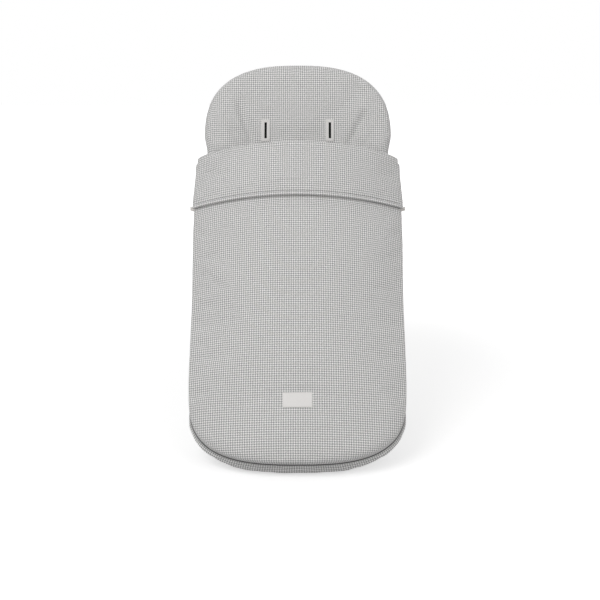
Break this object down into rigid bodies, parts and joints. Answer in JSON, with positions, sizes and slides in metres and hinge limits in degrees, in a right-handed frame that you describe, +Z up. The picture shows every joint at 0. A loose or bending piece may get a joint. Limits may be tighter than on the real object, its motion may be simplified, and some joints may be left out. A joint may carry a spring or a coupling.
{
  "type": "stroller footmuff",
  "caption": "Padded stroller footmuff: a long mat with an arched head panel and harness slots, and a zipped domed apron with a turned-down cuff.",
  "frame": {"origin": "centre of the flat rear face of the mat's backrest, where it lies on the seat's backrest", "axes": "+Z up, front facing -Y, +X to the right when seen from the front"},
  "size_m": [0.4642, 0.5809, 0.7715],
  "materials": {
    "check_fabric": "woven micro check in white and light grey",
    "wadding": "polyester wadding",
    "fleece": "short brushed pile",
    "nonslip_fabric": "grey weave with rubber dots",
    "welt_fabric": "pale folded tape",
    "label_fabric": "bare cream woven label",
    "piping": "corded piping",
    "elastic": "woven elastic",
    "zip_tape": "twill zip tape",
    "zip_coil": "moulded coil",
    "zip_metal": "nickelled"
  },
  "bodies": {
    "mat": {"mat_cover": "check_fabric", "mat_wadding": "wadding", "mat_backing": "nonslip_fabric", "shoulder_welt_left": "welt_fabric", "shoulder_welt_right": "welt_fabric", "waist_welt_left": "welt_fabric", "waist_welt_right": "welt_fabric", "crotch_welt": "welt_fabric", "gusset_shell": "check_fabric", "gusset_wadding": "wadding", "gusset_lining": "fleece", "toe_shell": "check_fabric", "toe_wadding": "wadding", "toe_lining": "fleece", "label": "label_fabric", "seam_piping": "piping", "head_pocket": "check_fabric", "pocket_elastic": "elastic", "mat_tape_left": "zip_tape", "mat_tape_right": "zip_tape", "mat_coil_left": "zip_coil", "mat_coil_right": "zip_coil", "zip_stop_left": "zip_metal", "zip_stop_right": "zip_metal"},
    "apron": {"apron_shell": "check_fabric", "apron_wadding": "wadding", "apron_lining": "fleece", "apron_tape_left": "zip_tape", "apron_tape_right": "zip_tape", "apron_coil_left": "zip_coil", "apron_coil_right": "zip_coil", "fold_roll": "check_fabric"},
    "cuff": {"cuff_shell": "check_fabric", "cuff_wadding": "wadding", "cuff_facing": "check_fabric", "cuff_hem": "check_fabric", "cuff_tape_left": "zip_tape", "cuff_tape_right": "zip_tape"},
    "slider_left": {"slider_left": "zip_metal"},
    "slider_right": {"slider_right": "zip_metal"},
    "puller_left": {"puller_left": "zip_metal"},
    "puller_right": {"puller_right": "zip_metal"}
  },
  "joints": [
    {"name": "apron_open", "type": "hinge", "parent": "mat", "child": "apron", "pos_m": [0, -0.32153, -0.24936], "axis": [1, 0, 0], "range_deg": [0, 150]},
    {"name": "cuff_fold", "type": "hinge", "parent": "apron", "child": "cuff", "pos_m": [0, -0.00864, 0.19749], "axis": [-1, 0, 0], "range_deg": [0, 150], "deforming": ["fold_roll"]},
    {"name": "zip_left", "type": "slide", "parent": "mat", "child": "slider_left", "axis": [0, -0.6181, -0.7861], "range_m": [0, 0.522]},
    {"name": "zip_right", "type": "slide", "parent": "mat", "child": "slider_right", "axis": [0, -0.6181, -0.7861], "range_m": [0, 0.522]},
    {"name": "puller_turn_left", "type": "hinge", "parent": "slider_left", "child": "puller_left", "pos_m": [-0.2243, 0.05675, 0.13657], "axis": [0, 0.7861, -0.6181], "range_deg": [0, 170]},
    {"name": "puller_turn_right", "type": "hinge", "parent": "slider_right", "child": "puller_right", "pos_m": [0.2243, 0.05675, 0.13657], "axis": [0, -0.7861, 0.6181], "range_deg": [0, 170]}
  ]
}
